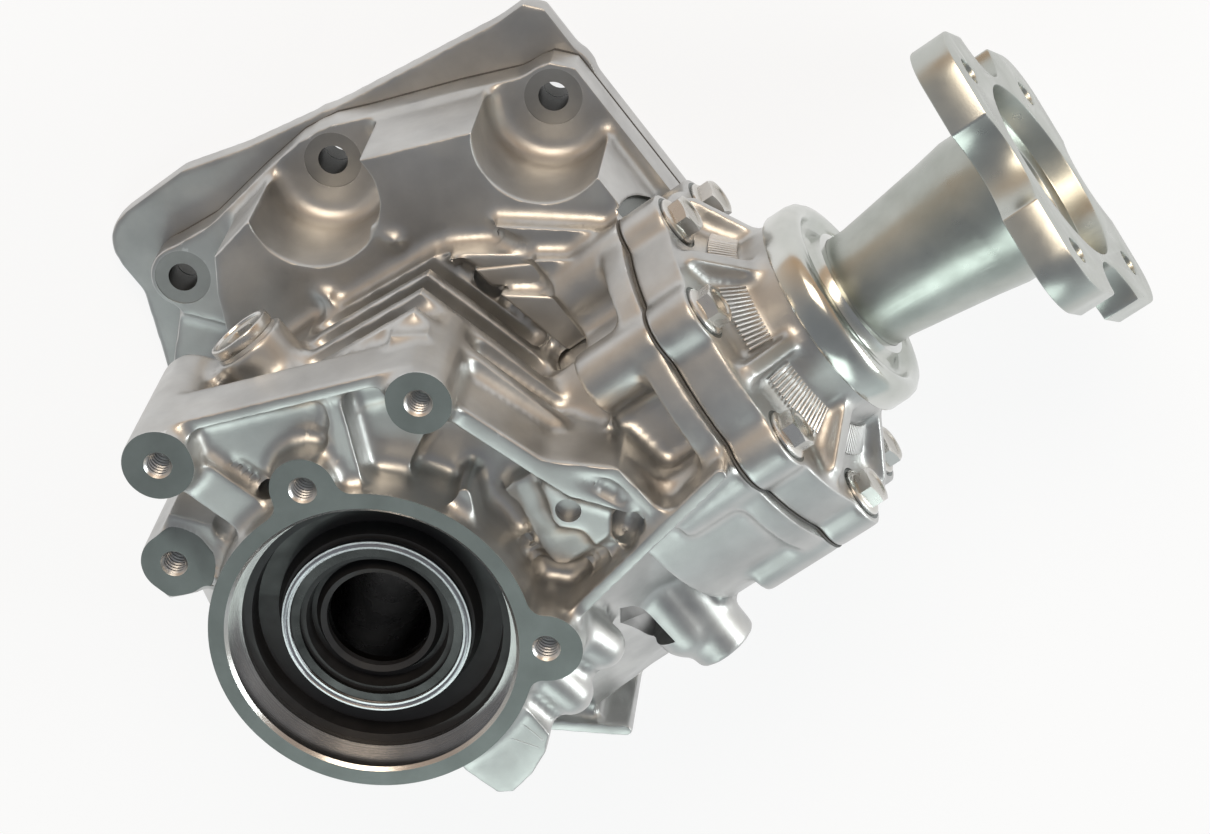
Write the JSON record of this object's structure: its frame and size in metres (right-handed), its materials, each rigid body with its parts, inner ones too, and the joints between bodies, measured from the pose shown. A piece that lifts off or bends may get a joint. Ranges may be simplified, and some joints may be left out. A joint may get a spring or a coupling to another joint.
{
  "type": "transfer case",
  "caption": "Right-angle transfer case: cast case with a wide open front bore, finned upper side, bolted pinion housing and a square companion flange with four lobes.",
  "frame": {"origin": "on the input axis, in the plane of the rear mounting face", "axes": "+Z along the input axis to the open front bore, +X along the pinion axis to the companion flange, +Y toward the upper mounting lugs"},
  "size_m": [0.384, 0.269, 0.164],
  "materials": {
    "cast_aluminium": "cast, satin, machined faces brighter",
    "gasket": "pressed fibre",
    "fastener_steel": "zinc plated",
    "washer_aluminium": "soft, bright",
    "rubber": "black",
    "machined_steel": "turned",
    "gear_steel": "case hardened, ground flanks",
    "bearing_steel": "ground",
    "zinc_steel": "satin zinc plated"
  },
  "bodies": {
    "case": {"main_case": "cast_aluminium", "rear_cover": "cast_aluminium", "pinion_housing": "cast_aluminium", "cover_gasket": "gasket", "housing_gasket": "gasket", "cover_screws": "fastener_steel", "dowel_pins": "fastener_steel", "housing_bolts": "fastener_steel", "filler_plug": "fastener_steel", "drain_plug": "fastener_steel", "filler_washer": "washer_aluminium", "drain_washer": "washer_aluminium", "face_ring": "rubber", "pilot_ring": "rubber", "front_shaft_seal": "rubber", "rear_shaft_seal": "rubber", "pinion_seal": "rubber", "front_bearing_shim": "machined_steel", "front_bearing_cup": "bearing_steel", "rear_bearing_cup": "bearing_steel", "head_bearing_cup": "bearing_steel", "tail_bearing_cup": "bearing_steel"},
    "input_line": {"input_shaft": "machined_steel", "ring_gear": "gear_steel", "ring_gear_bolts": "fastener_steel", "front_bearing_cone": "bearing_steel", "rear_bearing_cone": "bearing_steel", "axle_seal": "rubber", "shaft_slinger": "machined_steel"},
    "pinion_line": {"drive_pinion": "gear_steel", "head_bearing_cone": "bearing_steel", "tail_bearing_cone": "bearing_steel", "pinion_shim": "machined_steel", "crush_sleeve": "machined_steel", "companion_flange": "zinc_steel", "dust_shield": "zinc_steel", "pinion_nut": "fastener_steel"},
    "front_rollers": {"front_bearing_rollers": "bearing_steel"},
    "rear_rollers": {"rear_bearing_rollers": "bearing_steel"},
    "head_rollers": {"head_bearing_rollers": "bearing_steel"},
    "tail_rollers": {"tail_bearing_rollers": "bearing_steel"}
  },
  "joints": [
    {"name": "input_spin", "type": "hinge", "parent": "case", "child": "input_line", "pos_m": [0, 0, 0], "axis": [0, 0, 1], "continuous": true},
    {"name": "pinion_spin", "type": "hinge", "parent": "case", "child": "pinion_line", "pos_m": [0, -0.02, 0.076], "axis": [1, 0, 0], "continuous": true},
    {"name": "front_cage_spin", "type": "hinge", "parent": "case", "child": "front_rollers", "pos_m": [0, 0, 0], "axis": [0, 0, 1], "continuous": true},
    {"name": "rear_cage_spin", "type": "hinge", "parent": "case", "child": "rear_rollers", "pos_m": [0, 0, 0], "axis": [0, 0, 1], "continuous": true},
    {"name": "head_cage_spin", "type": "hinge", "parent": "case", "child": "head_rollers", "pos_m": [0, -0.02, 0.076], "axis": [1, 0, 0], "continuous": true},
    {"name": "tail_cage_spin", "type": "hinge", "parent": "case", "child": "tail_rollers", "pos_m": [0, -0.02, 0.076], "axis": [1, 0, 0], "continuous": true}
  ],
  "couplings": [
    {"joint": "pinion_spin", "follows": "input_spin", "ratio": 2.4545},
    {"joint": "front_cage_spin", "follows": "input_spin", "ratio": 0.4526},
    {"joint": "rear_cage_spin", "follows": "input_spin", "ratio": 0.4515},
    {"joint": "head_cage_spin", "follows": "input_spin", "ratio": 1.049},
    {"joint": "tail_cage_spin", "follows": "input_spin", "ratio": 1.048}
  ]
}
